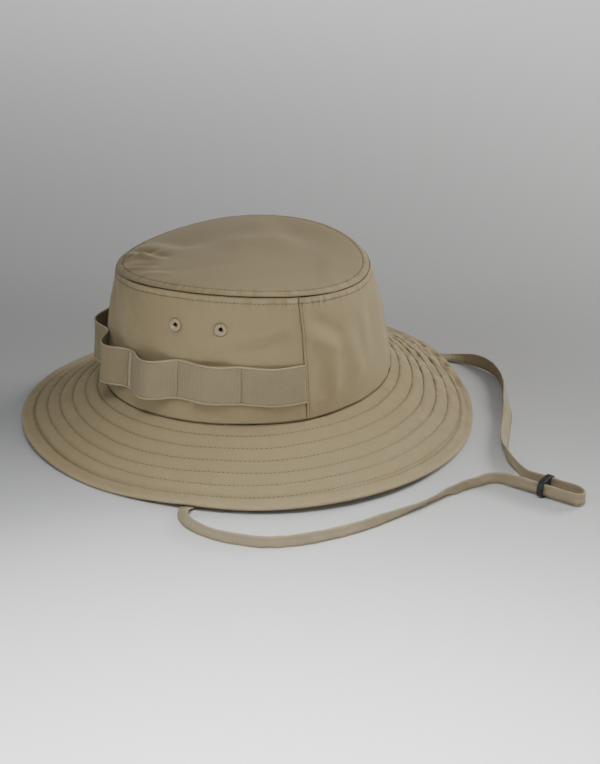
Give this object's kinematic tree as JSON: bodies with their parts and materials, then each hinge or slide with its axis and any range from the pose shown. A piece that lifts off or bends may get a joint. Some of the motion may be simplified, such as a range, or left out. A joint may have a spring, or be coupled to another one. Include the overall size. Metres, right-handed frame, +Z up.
{
  "type": "boonie hat",
  "caption": "Soft sun hat with a round quilted brim, oval crown, webbing loops round the front, ventilation eyelets and a chin strap with a slider.",
  "frame": {"origin": "middle of the brim's outline on the surface that the brim rests on, without the chin strap and its slider", "axes": "+Z up out of the crown, -Y the front of the hat (the middle of the webbing loops), +X the wearer's left"},
  "size_m": [0.3601, 0.3417, 0.1322],
  "materials": {
    "hat_cloth": "matt tan ripstop-weight cotton blend, plain fine weave",
    "webbing": "tan ribbed webbing",
    "strap_cloth": "tan folded and stitched tape",
    "sweatband_cloth": "matt tan lining cloth",
    "seam_tape": "matt tan binding tape",
    "interlining": "stiff undyed interlining",
    "eyelet_paint": "tan enamel, slightly worn",
    "washer_metal": "dull",
    "slider_rubber": "black, semi-matt moulded"
  },
  "bodies": {
    "hat": {"crown_tip": "hat_cloth", "front_side_panel": "hat_cloth", "rear_side_panel": "hat_cloth", "brim_under_cloth": "hat_cloth", "brim_interlining": "interlining", "brim_upper_cloth": "hat_cloth", "sweatband": "sweatband_cloth", "crown_seam_tape": "seam_tape", "left_seam_tape": "seam_tape", "right_seam_tape": "seam_tape", "loop_band": "webbing", "eyelet_left_front": "eyelet_paint", "eyelet_left_rear": "eyelet_paint", "eyelet_right_front": "eyelet_paint", "eyelet_right_rear": "eyelet_paint", "washer_left_front": "washer_metal", "washer_left_rear": "washer_metal", "washer_right_front": "washer_metal", "washer_right_rear": "washer_metal", "chin_strap": "strap_cloth"},
    "slider": {"strap_slider": "slider_rubber"}
  },
  "joints": [
    {"name": "slider_travel", "type": "slide", "parent": "hat", "child": "slider", "axis": [0.8746, 0.4848, 0], "range_m": [-0.012, 0.016]}
  ]
}
